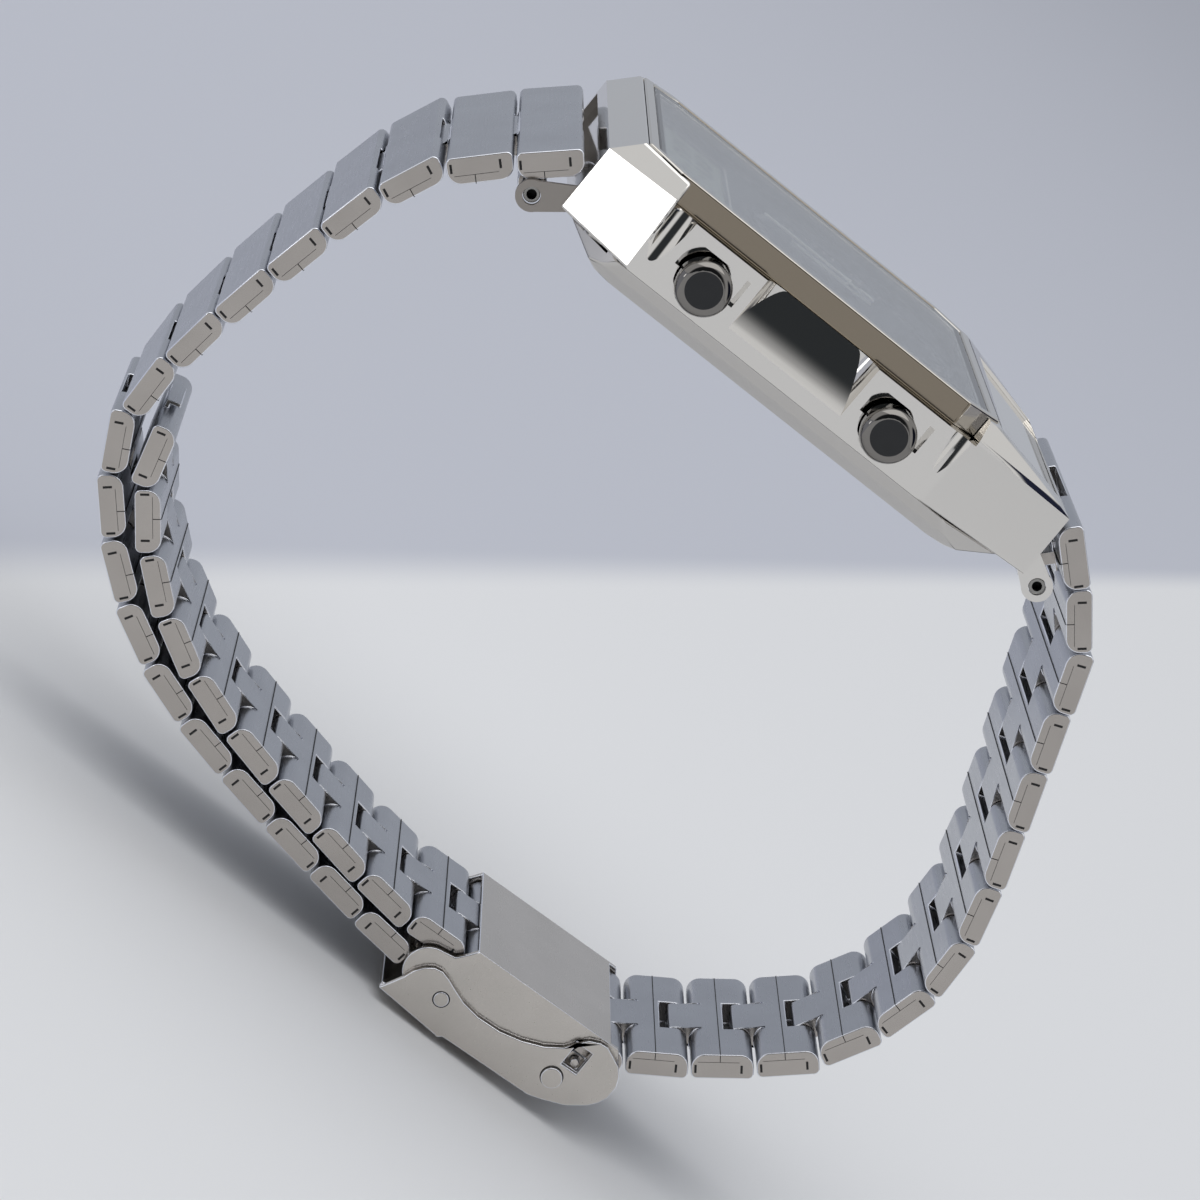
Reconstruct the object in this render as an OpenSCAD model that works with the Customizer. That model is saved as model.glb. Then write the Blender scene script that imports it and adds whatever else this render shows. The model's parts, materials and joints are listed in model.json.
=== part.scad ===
// Analog-digital wristwatch with a folded-link bracelet, closed as it is worn.
// Origin: centre of the flat back face. +Z out of the dial, +Y to 12 o'clock, +X to 3 o'clock.

/* [Case] */
// Length of the case from its 12 o'clock end to its 6 o'clock end
case_len = 38.6; // [37.8:0.1:39.4]
// Width of the case between its two long sides
case_wid = 29.2; // [28.8:0.1:31]
// Width of each cut corner, across the case
cut_wid = 2.7; // [2.5:0.1:3]
// Length along the case of the two cut corners at 12 o'clock
cut_12 = 5.2; // [4.2:0.1:5.4]
// Length along the case of the two long cut corners at 6 o'clock
cut_6 = 9; // [7.5:0.1:9.5]
// Height of the case band
band_h = 5; // [4.8:0.1:5.6]
// Height of the back cover below the band
back_h = 1.8; // [1.4:0.1:2.2]
// Shadow groove between the back cover and the band
seam = 0.2; // [0.15:0.05:0.4]

/* [Bezel and crystal] */
// Height of the bezel frame above the band
bezel_h = 1.8; // [1.7:0.1:2.2]
// Width of the case's shoulder beside the bezel frame
shoulder = 1.4; // [1.3:0.05:1.5]
// Length of the short bevel between the bezel frame and the 12 o'clock end
bevel_12 = 1.85; // [1.7:0.05:2]
// Length of the long bevel between the bezel frame and the 6 o'clock end
bevel_6 = 7.75; // [7.4:0.05:8]
// Wall of the bezel frame beside the crystal
bezel_wall = 0.8; // [0.7:0.05:0.9]
// Width of the ledge that the crystal sits on
ledge = 0.7; // [0.6:0.05:0.8]
// Thickness of the crystal
crystal_t = 1; // [0.9:0.05:1.1]

/* [Dial and movement] */
// Distance of the movement's cavity inside the bezel frame's long sides
cavity_side = 1.4; // [1.3:0.05:1.5]
// Distance of the movement's cavity inside the bezel frame's ends
cavity_end = 0.9; // [0.85:0.05:1]
// Thickness of the dial
dial_t = 0.4; // [0.3:0.05:0.5]
// Distance of the dial's top below the band's top
dial_drop = 0.3; // [0.25:0.05:0.4]
// Distance of the round analog field from the dial's 6 o'clock edge
field_gap = 1.2; // [1:0.1:1.5]
// Distance between the analog field and the display window
middle_gap = 1.8; // [1.6:0.1:2.2]
// Distance of the hour hand's tip from the edge of the analog field
hour_gap = 3.7; // [3:0.1:4.2]
// Distance of the minute hand's tip from the edge of the analog field
minute_gap = 1.1; // [0.7:0.1:1.6]
// Width of the display window
lcd_wid = 17; // [15:0.5:19]
// Height of the display window
lcd_len = 5; // [4:0.1:5.4]
// Distance of the display window from the dial's 12 o'clock edge
lcd_gap = 1.4; // [1.2:0.1:1.6]
// Radius of the battery
battery_r = 4.75; // [4.4:0.05:5]
// Thickness of the battery
battery_h = 1.6; // [1.4:0.1:1.8]

/* [Pushers] */
// Distance of two pushers from the case's 12 o'clock end
push_12 = 9.75; // [9.6:0.05:10]
// Distance of the third pusher from the case's 6 o'clock end
push_6 = 13.65; // [13.4:0.05:13.9]
// Height of the pushers above the band's lower edge
push_z = 2.2; // [2.15:0.05:2.4]
// Radius of a pusher's head
push_r = 1.85; // [1.7:0.05:1.85]
// Radius of the flat face of a pusher's head
push_face_r = 1.25; // [1:0.05:1.4]
// Travel of a pusher
push_travel = 0.7; // [0.5:0.05:0.8]
// Depth of the seats that the pushers' heads sink into
scoop = 0.9; // [0.8:0.05:1]
// Half the length of the guard round a pusher
guard = 3; // [2.9:0.05:3.2]
// Height of the plain strip below the guards and hollows
strip_h = 1.1; // [1:0.05:1.3]

/* [Links] */
// Pitch of the links
pitch = 4.5; // [4.3:0.05:4.7]
// Thickness of a link
link_t = 1.75; // [1.7:0.05:1.85]
// Width of the links at the clasp
link_wid_clasp = 14; // [13.5:0.1:14.5]
// Number of links over which the bracelet narrows from the case to the clasp
taper_links = 8.5; // [8:0.5:9]
// Gap between two neighbouring links
link_gap = 0.2; // [0.18:0.02:0.26]
// Radius of a link's outer corners
link_r_out = 0.4; // [0.35:0.05:0.5]
// Radius of a link's inner corners
link_r_in = 0.95; // [0.9:0.01:0.96]
// Thickness of the folded sheet over a link's hollow middle
link_sheet = 0.25; // [0.22:0.01:0.27]
// Radius of a link pin
pin_r = 0.25; // [0.22:0.01:0.28]
// Radius of the spring bars
bar_r = 0.55; // [0.5:0.01:0.6]
// Distance from an end link's middle down to its spring bar at 12 o'clock
drop_12 = 1.82; // [1.8:0.02:2]
// Distance from an end link's middle down to its spring bar at 6 o'clock
drop_6 = 2.65; // [2.4:0.05:2.8]
// Radius of the case's ears round the spring bars
ear_r = 1.05; // [0.9:0.05:1.1]
// Thickness of the case's ears
ear_t = 0.4; // [0.35:0.05:0.5]
// Running clearance round the pins and bars
fit = 0.04; // [0.03:0.005:0.06]

/* [Clasp] */
// Sheet thickness of the clasp
clasp_sheet = 0.4; // [0.35:0.05:0.45]
// Length of the clasp's base over the links
clasp_len = 13.1; // [12.6:0.1:13.4]
// Radius of the clasp's two hinge rivets
rivet_r = 0.45; // [0.4:0.05:0.5]
// Radius of the rivets' heads
rivet_head_r = 0.75; // [0.65:0.05:0.85]
// Depth from the links' middle to the inside of the cover's face
cover_n = 4.4; // [4.3:0.05:4.7]

/* [Hidden] */
$fn = 48;

// Heights of the case's parts
z_band = back_h + seam;
z_top = z_band + band_h;
z_bezel = z_top + bezel_h;
z_crystal = z_bezel - 0.05 - crystal_t;
z_dial = z_top - dial_drop;
push_zc = z_band + push_z;

// Lengths and widths of the case's parts, and their places along it
end_wid = case_wid - 2 * cut_wid;
bezel_wid = case_wid - 2 * shoulder;
bezel_len = case_len - bevel_12 - bevel_6;
bezel_y = (bevel_6 - bevel_12) / 2;
cavity_wid = bezel_wid - 2 * cavity_side;
cavity_len = bezel_len - 2 * cavity_end;
cavity_y = bezel_y - 0.25;
push_12_y = case_len / 2 - push_12;
push_6_y = push_6 - case_len / 2;
field_r = (cavity_len - field_gap - middle_gap - lcd_len - lcd_gap) / 2;
hands_y = cavity_y - cavity_len / 2 + field_gap + field_r;
lcd_y = cavity_y + cavity_len / 2 - lcd_gap - lcd_len / 2;
battery_at = [3.4, cavity_y - cavity_len / 2 + battery_r + 1.35];

// Spring bars: where the bracelet hangs on the case
bar_12 = [case_len / 2 + 1.9, z_band - 0.6];
bar_6 = [-case_len / 2 - 1.3, z_band - 0.1];
ear_step = 0.15;
recess_wid = end_wid - 2 * (ear_step + ear_t);
link_wid_case = recess_wid - 0.2;
bracket_r = 0.95;
bracket_wid = link_wid_case - 7.5;
end_recess = 0.5;

// Place of a link's pivot from the middle of the gap before it, and from its mid-thickness
pivot_s = link_gap / 2 + link_r_in;
pivot_n = link_r_in - link_t / 2;
side_gap = 0.15;
pocket_n = link_t / 2 - link_sheet;
knuckle_r = pocket_n - pivot_n - 0.09;
hollow_s = pivot_s + 1;

// Hollow between the pushers: its radius, and its slope in degrees at the top and at the strip
hollow_r = 10.8;
hollow_top_slope = 8;
hollow_strip_slope = 30;
groove_r = 0.9;

// Place of a spring bar under its end link
bar_s = pitch - 0.9;

// Closed loop: inward turns in degrees from link to link
dir_12 = -43;
turns_12 = [3, 21, 10, 1, 2, 3, 8.5, 26, 14, 10, 10, 9, 6, 2, 1, 1, 3];
dir_6 = -138;
turns_6 = [7, 19, 0, 0, 1, 4, 13, 17, 14, 20, 5, 4];
turn_clasp = 32;
turns_tail = [10, 3, 1, 2, 6, 10, 11, 11, 23];
links_a = 18;
links_b = 13;
links_in_clasp = 4;
links_tail = 9;

// Place of the clasp's cross bar in the clasp's own frame
hook_s = 15.5;
hook_n = 2.6;

function unit(a) = [cos(a), sin(a)];
function left(a) = [-sin(a), cos(a)];
function total(v, n) = n <= 0 ? 0 : v[n - 1] + total(v, n - 1);
function walk(dirs, n) = n <= 0 ? [0, 0] : pitch * unit(dirs[n - 1]) + walk(dirs, n - 1);
function angle(v) = atan2(v[1], v[0]);

// Directions of the links before the loop is closed
free_a = [for (i = [1 : links_a]) dir_12 - total(turns_12, i - 1)];
free_b = [for (i = [1 : links_b]) dir_6 + total(turns_6, i - 1)];
free_clasp = free_b[links_b - 1] + turn_clasp;
free_tail = [for (i = [1 : links_tail]) free_clasp + total(turns_tail, i)];

// First pivot of each strand from its spring bar, in the end link's own frame
first_s = pitch + pivot_s - bar_s;

// Spring bar to cross bar along each strand
reach_a = first_s * unit(free_a[0]) + (pivot_n + drop_12) * left(free_a[0])
    + walk([for (i = [1 : links_a - 1]) free_a[i]], links_a - 1);
reach_b = first_s * unit(free_b[0]) - (pivot_n + drop_6) * left(free_b[0])
    + walk([for (i = [1 : links_b - 1]) free_b[i]], links_b - 1)
    + (hook_s - pivot_s) * unit(free_clasp) - (hook_n - pivot_n) * left(free_clasp);

// The two strands meet at the cross bar, which closes the loop
span = bar_12 - bar_6;
along = (reach_b * reach_b - reach_a * reach_a + span * span) / (2 * norm(span));
across = sqrt(reach_b * reach_b - along * along);
hook_at = bar_6 + along * span / norm(span) + across * [span[1], -span[0]] / norm(span);
swing_a = angle(hook_at - bar_12) - angle(reach_a);
swing_b = angle(hook_at - bar_6) - angle(reach_b);
dirs_a = [for (d = free_a) d + swing_a];
dirs_b = [for (d = free_b) d + swing_b];
dir_clasp = free_clasp + swing_b;

// The tail keeps beside the first strand: its first link makes up for the clasp's own turn
tail_lead = links_in_clasp + (pivot_s - hook_s) / pitch;
dirs_tail = [for (i = [0 : links_tail - 1])
    free_tail[i] + swing_a + (i == 0 ? tail_lead * (swing_a - swing_b) : 0)];

// Pivots of the links in the plane of the loop
start_a = bar_12 + first_s * unit(dirs_a[0]) + (pivot_n + drop_12) * left(dirs_a[0]);
start_b = bar_6 + first_s * unit(dirs_b[0]) - (pivot_n + drop_6) * left(dirs_b[0]);
function pivot_a(i) = start_a + walk([for (k = [1 : links_a - 1]) dirs_a[k]], i - 2);
function pivot_b(i) = start_b + walk([for (k = [1 : links_b - 1]) dirs_b[k]], i - 2);
pivot_clasp = pivot_b(links_b + 1);
clasp_at = pivot_clasp - pivot_s * unit(dir_clasp) + pivot_n * left(dir_clasp);
start_tail = pivot_clasp + links_in_clasp * pitch * unit(dir_clasp);
function pivot_tail(i) = start_tail + walk(dirs_tail, i - 1);

function link_wid(i) = link_wid_case
    - (link_wid_case - link_wid_clasp) * min(i - 1, taper_links) / taper_links;

// Clasp widths and the rivets' place in the clasp's frame
base_in = link_wid_clasp / 2 + 0.3;
base_out = base_in + clasp_sheet;
cover_in = base_out + 0.1;
cover_out = cover_in + clasp_sheet;
rivet_s = 3.8;
rivet_n = 2.95;
lock_s = 3;
lock_n = 1.42;
window_n = 0.875;
slot_wid = 1.85;
slot_len = 1.3;
plate_n = link_t / 2 + 0.33;
steel = [0.62, 0.62, 0.64];
polished = [0.78, 0.77, 0.75];

// Puts a shape drawn along a strand into the loop, with its pivot at the given point
module in_loop(at, dir, out = 1) {
    translate([0, at[0], at[1]]) rotate([90, 0, 90]) rotate([0, 0, dir])
        mirror([0, out < 0 ? 1 : 0, 0]) children();
}

module slab(wid) {
    translate([0, 0, -wid / 2]) linear_extrude(wid) children();
}

// Side view of a link: small outer corners, large inner corners
module link_profile(from = link_gap / 2, to = pitch - link_gap / 2) {
    half = link_t / 2;
    intersection() {
        translate([from, -half]) square([to - from, link_r_in]);
        union() {
            translate([from + link_r_in, -half]) square([to - from - 2 * link_r_in, link_r_in]);
            for (s = [from + link_r_in, to - link_r_in]) translate([s, pivot_n]) circle(link_r_in);
        }
    }
    translate([from, pivot_n]) square([to - from, link_t - link_r_in - link_r_out]);
    translate([from + link_r_out, pivot_n]) square([to - from - 2 * link_r_out, link_t - link_r_in]);
    for (s = [from + link_r_out, to - link_r_out]) translate([s, half - link_r_out]) circle(link_r_out);
}

// Side view of the connector that reaches into the next link's hollow
module connector_profile() {
    half = link_t / 2;
    root = pitch - link_gap / 2 - 1;
    nose = pitch + pivot_s;
    translate([root, -half]) square([1, half + pocket_n + link_sheet / 2]);
    translate([root, -half + 0.3]) square([nose + 0.35 - root, half - 0.3 + pivot_n]);
    translate([root, -half]) square([nose + 0.05 - root, half]);
    translate([root, 0]) square([nose - root, pivot_n + knuckle_r]);
    translate([nose + 0.05, -half + 0.3]) circle(0.3);
    translate([nose, pivot_n]) circle(knuckle_r);
}

// The connector with its bore, as wide as the next link's hollow allows
module connector(next_wid) {
    difference() {
        slab(next_wid / 3 - 2 * side_gap) connector_profile();
        translate([pitch + pivot_s, pivot_n, -next_wid]) cylinder(r = pin_r + fit, h = 2 * next_wid);
    }
}

// The folded sheet, with a hollow that takes the knuckle of the link before it
module link_shell(wid) {
    difference() {
        slab(wid) link_profile();
        translate([-1, -link_t, -wid / 6]) cube([hollow_s + 1, link_t + pocket_n, wid / 3]);
    }
}

// A whole link, with its pivot at the origin: shell, pin across the hollow, and connector
module link(wid, next_wid) {
    translate([-pivot_s, -pivot_n, 0]) {
        link_shell(wid);
        translate([pivot_s, pivot_n, -wid / 6 - 0.3]) cylinder(r = pin_r, h = wid / 3 + 0.6);
        if (next_wid > 0) connector(next_wid);
    }
}

// An end link with the folded bracket that holds the spring bar
module end_link(drop) {
    difference() {
        union() {
            link_shell(link_wid(1));
            connector(link_wid(2));
            slab(bracket_wid) {
                translate([bar_s, -drop]) circle(bracket_r);
                translate([bar_s - bracket_r, -drop]) square([bracket_r, drop - link_t / 2 + 0.1]);
            }
            slab(bracket_wid) translate([bar_s - 1.6, -link_t / 2 - 0.2]) square([2.1, 0.25]);
        }
        translate([bar_s, -drop, -bracket_wid]) cylinder(r = bar_r + fit, h = 2 * bracket_wid);
    }
}

module on_strand_a(i) {
    in_loop(pivot_a(i), dirs_a[i - 1]) children();
}

module on_strand_b(i) {
    in_loop(pivot_b(i), dirs_b[i - 1], -1) children();
}

module on_tail(i) {
    in_loop(pivot_tail(links_tail + 1 - i), dirs_tail[links_tail - i], -1) children();
}

module on_clasp() {
    in_loop(clasp_at, dir_clasp, -1) children();
}

// Plan of the case: a rectangle with four cut corners
module case_plan() {
    polygon([
        [end_wid / 2, case_len / 2], [case_wid / 2, case_len / 2 - cut_12],
        [case_wid / 2, cut_6 - case_len / 2], [end_wid / 2, -case_len / 2],
        [-end_wid / 2, -case_len / 2], [-case_wid / 2, cut_6 - case_len / 2],
        [-case_wid / 2, case_len / 2 - cut_12], [-end_wid / 2, case_len / 2]]);
}

// Plan of the bezel frame and of what fits it, grown or shrunk by one distance
module bezel_plan(grow = 0, cut = [1.6, 2.6]) {
    x = bezel_wid / 2 + grow;
    y = bezel_len / 2 + grow;
    c = [cut[0] + 0.5 * grow, cut[1] + 0.5 * grow];
    translate([0, bezel_y]) polygon([
        [x - c[0], y], [x, y - c[1]], [x, c[1] - y], [x - c[0], -y],
        [c[0] - x, -y], [-x, c[1] - y], [-x, y - c[1]], [c[0] - x, y]]);
}

module cavity_plan(grow = 0) {
    translate([-cavity_wid / 2 - grow, cavity_y - cavity_len / 2 - grow])
        square([cavity_wid + 2 * grow, cavity_len + 2 * grow]);
}

// Side view of the case: short bevel at 12 o'clock, long bevel at 6 o'clock
module case_side() {
    end = case_len / 2;
    polygon([
        [-end, z_band], [end, z_band], [end, z_top - 0.1],
        [bezel_y + bezel_len / 2 + 0.2, z_bezel - 0.15],
        [bezel_y - bezel_len / 2 - 0.2, z_bezel - 0.15], [-end, z_top - 0.1]]);
}

// Everything above the plane through three points
module above(p, q, r) {
    n = cross(q - p, r - p);
    up = n[2] < 0 ? -n : n;
    translate(p) rotate([0, acos(up[2] / norm(up)), atan2(up[1], up[0])])
        translate([-50, -50, 0]) cube([100, 100, 50]);
}

// Slopes from the tops of the cut corners up to the bezel frame
module corner_slopes(side) {
    end = case_len / 2;
    above([side * end_wid / 2, end, z_top - 0.1], [side * case_wid / 2, end - cut_12, z_top + 0.4],
        [side * (bezel_wid / 2 - 0.5), bezel_y + bezel_len / 2 - 1.2, z_bezel - 0.15]);
    above([side * end_wid / 2, -end, z_top - 0.1], [side * case_wid / 2, cut_6 - end, z_top + 0.4],
        [side * (bezel_wid / 2 - 0.3), bezel_y - bezel_len / 2 - 0.2, z_bezel - 0.15]);
}

// Seat of a pusher's head, round below and square under its guard, with the shaft's bore
module pusher_seat(side, y) {
    half = push_r + 0.45;
    translate([side * (case_wid / 2 - scoop), y, push_zc]) {
        rotate([0, side * 90, 0]) cylinder(r = push_r + 0.08, h = 3);
        translate([side < 0 ? -3 : 0, -half, 0]) cube([3, 2 * half, push_r + 0.15]);
    }
    translate([side * (cavity_wid / 2 - 1), y, push_zc]) rotate([0, side * 90, 0])
        cylinder(r = 0.8 + fit, h = 6);
}

// Upright groove that fades out downwards, at the given height above the band's lower edge
module side_groove(side, y, deep, low) {
    translate([side * (case_wid / 2 + groove_r - deep), y, z_top])
        rotate([0, -side * atan(deep / (band_h - low)), 0])
        translate([0, 0, -2 * band_h]) cylinder(r = groove_r, h = 3 * band_h);
}

// Concave hollow between the guards of two pushers, with round ends
module side_hollow(side) {
    deep = hollow_r * (cos(hollow_top_slope) - cos(hollow_strip_slope));
    end_r = deep + 0.35;
    end_at = sqrt(end_r * end_r - 0.35 * 0.35);
    lo = push_6_y + guard + end_at;
    hi = push_12_y - guard - end_at;
    intersection() {
        translate([side * (case_wid / 2 + hollow_r * cos(hollow_strip_slope)), lo - 2 * end_r,
            z_band + strip_h + hollow_r * sin(hollow_strip_slope)])
            rotate([-90, 0, 0]) cylinder(r = hollow_r, h = hi - lo + 4 * end_r);
        translate([0, 0, z_band]) linear_extrude(2 * band_h) {
            translate([side * (case_wid / 2 + 0.35) - end_r, lo]) square([2 * end_r, hi - lo]);
            for (y = [lo, hi]) translate([side * (case_wid / 2 + 0.35), y]) circle(end_r);
        }
    }
}

module case_body() color(polished) {
    difference() {
        intersection() {
            translate([0, 0, z_band]) linear_extrude(z_bezel) case_plan();
            translate([-case_wid, 0, 0]) rotate([90, 0, 90]) linear_extrude(2 * case_wid) case_side();
        }
        // Shoulders beside the bezel frame
        for (side = [-1, 1]) translate([side < 0 ? -case_wid : bezel_wid / 2 + 0.05,
            cut_6 - case_len / 2 - 0.4, z_top])
            cube([case_wid, case_len - cut_12 - cut_6 + 0.4, bezel_h + 1]);
        for (side = [-1, 1]) {
            side_hollow(side);
            side_groove(side, case_len / 2 - cut_12 - 0.85, 0.8, 1.4);
            side_groove(side, cut_6 - case_len / 2 + 0.6, 0.3, 2);
        }
        for (side = [-1, 1]) corner_slopes(side);
        for (y = [push_12_y, push_6_y]) pusher_seat(-1, y);
        pusher_seat(1, push_12_y);
        // Seat of the bezel frame
        translate([0, 0, z_top]) linear_extrude(bezel_h + 1) bezel_plan(0.05);
        // Cavity for the movement, open at the back
        translate([0, 0, z_band - 1]) linear_extrude(band_h + 2) cavity_plan();
        // Shallow window in the 6 o'clock bevel
        window_cut();
        // Recesses behind the two end links, open downwards
        for (side = [-1, 1]) translate([0, side * (case_len / 2 - end_recess), z_band - 1])
            translate([-recess_wid / 2, side < 0 ? -2 : 0, 0]) cube([recess_wid, 2, band_h - 0.1]);
    }
    case_ears(bar_12, 1);
    case_ears(bar_6, -1);
}

// Slope of the long bevel, and its shallow window
bevel_top = [bezel_y - bezel_len / 2 - 0.2, z_bezel - 0.15];
bevel_end = [-case_len / 2, z_top - 0.1];
bevel_angle = angle(bevel_top - bevel_end);
window_len = norm(bevel_top - bevel_end) - 2.2;
window_wid = end_wid - 3.6;

module window_cut() {
    translate([-window_wid / 2, bevel_end[0], bevel_end[1]]) rotate([bevel_angle, 0, 0])
        translate([0, 1.1, -0.25]) cube([window_wid, window_len, 2]);
}

// Two ears beside an end link, with the spring bar's holes
module case_ears(bar, side) {
    root = side * (case_len / 2 - end_recess);
    for (x = [-recess_wid / 2 - ear_t, recess_wid / 2]) translate([x, 0, 0]) rotate([90, 0, 90])
        linear_extrude(ear_t) difference() {
            union() {
                translate(bar) circle(ear_r);
                polygon([[root, z_band], [root, z_band + 2],
                    bar + ear_r * [side * cos(40), sin(40)], bar - ear_r * [side * cos(40), sin(40)]]);
            }
            translate(bar) circle(bar_r + fit);
        }
}

module bezel_frame() color(polished) {
    difference() {
        translate([0, 0, z_top]) linear_extrude(bezel_h) bezel_plan();
        translate([0, 0, z_crystal]) linear_extrude(bezel_h) bezel_plan(-bezel_wall);
        translate([0, 0, z_top - 1]) linear_extrude(bezel_h + 2) bezel_plan(-bezel_wall - ledge);
    }
}

module crystal() color([0.75, 0.78, 0.82, 0.5]) {
    translate([0, 0, z_crystal]) linear_extrude(crystal_t) bezel_plan(-bezel_wall - 0.05);
}

module dial() color([0.2, 0.22, 0.27]) {
    difference() {
        translate([0, 0, z_dial - dial_t]) linear_extrude(dial_t) cavity_plan(-0.1);
        translate([-lcd_wid / 2, lcd_y - lcd_len / 2, z_dial - 2]) cube([lcd_wid, lcd_len, 3]);
        translate([0, hands_y, z_dial - 2]) cylinder(r = 0.6, h = 3);
    }
    difference() {
        translate([0, hands_y, z_dial - dial_t]) cylinder(r = field_r, h = dial_t + 0.08);
        translate([0, hands_y, z_dial - dial_t - 1]) cylinder(r = field_r - 0.35, h = 3);
    }
    for (a = [0 : 30 : 330]) translate([0, hands_y, z_dial - 0.1]) rotate([0, 0, a])
        translate([-0.2, field_r - 2.1, 0]) cube([0.4, 1.4, 0.2]);
}

module lcd_panel() color([0.55, 0.6, 0.52]) {
    translate([-lcd_wid / 2 + 0.05, lcd_y - lcd_len / 2 + 0.05, z_dial - dial_t])
        cube([lcd_wid - 0.1, lcd_len - 0.1, dial_t - 0.1]);
}

// A baton hand on the centre post
module hand(length, z, wid) {
    difference() {
        union() {
            translate([0, hands_y, z]) cylinder(r = 0.8, h = 0.14);
            translate([-wid / 2, hands_y - 1.6, z]) cube([wid, length + 1.6, 0.14]);
        }
        translate([0, hands_y, z - 1]) cylinder(r = 0.4 + fit, h = 3);
    }
}

module hour_hand() color("white") {
    hand(field_r - hour_gap, z_dial + 0.25, 0.8);
}

module minute_hand() color("white") {
    hand(field_r - minute_gap, z_dial + 0.55, 0.6);
}

module movement() color([0.45, 0.45, 0.42]) {
    z_low = z_band + 1.1;
    high = z_dial - dial_t - 0.02 - z_low;
    difference() {
        translate([0, 0, z_low]) linear_extrude(high) cavity_plan(-0.4);
        translate([battery_at[0], battery_at[1], z_low - 1])
            cylinder(r = battery_r + 0.1, h = battery_h + 1.1);
        for (side = [-1, 1]) for (y = side < 0 ? [push_12_y, push_6_y] : [push_12_y])
            translate([side * (cavity_wid / 2 - 1), y, push_zc]) cube([3.6, 3, 3], center = true);
    }
    translate([0, hands_y, z_low + high - 0.5]) cylinder(r = 0.4, h = 1.85);
}

module battery() color("silver") {
    translate([battery_at[0], battery_at[1], z_band + 1]) {
        translate([0, 0, 0.1]) cylinder(r = battery_r, h = battery_h);
        cylinder(r = battery_r - 0.5, h = 0.2);
    }
}

// Plan of the back cover at its widest
back_len_12 = case_len / 2 - 1;
back_len_6 = case_len / 2 - 1.8;
back_half = case_wid / 2 - 1.4;

module back_cover() color(polished) {
    intersection() {
        translate([-case_wid, 0, 0]) rotate([90, 0, 90]) linear_extrude(2 * case_wid)
            polygon([[-back_len_6, back_h], [-back_len_6 + 3.4, 0.15], [-back_len_6 + 4.4, 0],
                [back_len_12 - 4.2, 0], [back_len_12 - 3.2, 0.15], [back_len_12, back_h]]);
        translate([0, case_len, 0]) rotate([90, 0, 0]) linear_extrude(2 * case_len)
            polygon([[-back_half, back_h], [-back_half + 0.5, 0.9], [-back_half + 2, 0],
                [back_half - 2, 0], [back_half - 0.5, 0.9], [back_half, back_h]]);
        linear_extrude(back_h) back_plan();
    }
    translate([0, 0, back_h - 0.01]) linear_extrude(seam + 0.01) cavity_plan(0.8);
    translate([0, 0, z_band - 0.01]) linear_extrude(0.5) cavity_plan(-0.65);
    difference() {
        translate([0, 0, z_band + 0.45]) linear_extrude(0.25) cavity_plan(-0.05);
        translate([0, 0, z_band + 0.5]) linear_extrude(2) cavity_plan(-1.2);
    }
}

module back_plan() {
    polygon([
        [back_half - 2.4, back_len_12], [back_half, back_len_12 - 4], [back_half, 5 - back_len_6],
        [back_half - 2.4, -back_len_6], [2.4 - back_half, -back_len_6],
        [-back_half, 5 - back_len_6], [-back_half, back_len_12 - 4], [2.4 - back_half, back_len_12]]);
}

module back_gasket() color([0.1, 0.1, 0.1]) {
    difference() {
        translate([0, 0, z_band + 0.02]) linear_extrude(0.4) cavity_plan(-0.02);
        translate([0, 0, z_band - 1]) linear_extrude(3) cavity_plan(-0.62);
    }
}

module spring_bar(at, half) {
    translate([-half, at[0], at[1]]) rotate([0, 90, 0]) cylinder(r = bar_r, h = 2 * half);
}

module spring_bar_6() color(steel) {
    spring_bar(bar_6, recess_wid / 2 + ear_t - 0.1);
}

// Its tips are drawn in, so that this strand can leave the case
module spring_bar_12() color(steel) {
    spring_bar(bar_12, recess_wid / 2 - 0.1);
}

// Side view of half a pusher, turned about its axis
module pusher(side, y) {
    head = scoop + 1.55;
    stand = push_travel + 0.1;
    shaft = case_wid / 2 - scoop - cavity_wid / 2 + stand + 0.2;
    dome = push_r - push_face_r;
    translate([side * (case_wid / 2 - scoop + stand), y, push_zc]) rotate([0, side * 90, 0]) {
        rotate_extrude() {
            square([push_r, head - stand - dome]);
            square([push_face_r, head - stand]);
            intersection() {
                translate([push_face_r, head - stand - dome]) circle(dome);
                square([push_r, head - stand]);
            }
        }
        translate([0, 0, -shaft]) cylinder(r = 0.8, h = shaft + 0.1);
        translate([0, 0, -shaft]) cylinder(r = 1.1, h = 0.2);
    }
}

module pusher_9_upper() color(polished) {
    pusher(-1, push_12_y);
}

module pusher_9_lower() color(polished) {
    pusher(-1, push_6_y);
}

module pusher_3() color(polished) {
    pusher(1, push_12_y);
}

module end_link_12() color(steel) {
    in_loop(bar_12, dirs_a[0]) translate([-bar_s, drop_12, 0]) end_link(drop_12);
}

module end_link_6() color(steel) {
    in_loop(bar_6, dirs_b[0], -1) translate([-bar_s, drop_6, 0]) end_link(drop_6);
}

module link_a(i) color(steel) {
    on_strand_a(i) link(link_wid(i), link_wid(i + 1));
}

module link_b(i) color(steel) {
    on_strand_b(i) link(link_wid(i), link_wid(i + 1));
}

module tail(i) color(steel) {
    on_tail(i) link(link_wid_clasp, link_wid_clasp);
}

// Last link of the tail: no connector, but a folded end strip
module tail_end() color(steel) {
    on_tail(1) {
        link(link_wid_clasp, 0);
        translate([-pivot_s, -pivot_n, 0]) slab(link_wid_clasp / 3 - 0.3) {
            translate([pitch - 1.2, pocket_n - 0.3]) square([1.7, 0.35]);
            translate([pitch + 0.2, pocket_n - 1]) square([0.3, 0.8]);
        }
    }
}

// Square window over the lock's cross pin
module lock_window() {
    translate([lock_s - 0.45, window_n - slot_wid / 2]) square([slot_len, slot_wid]);
}

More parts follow.
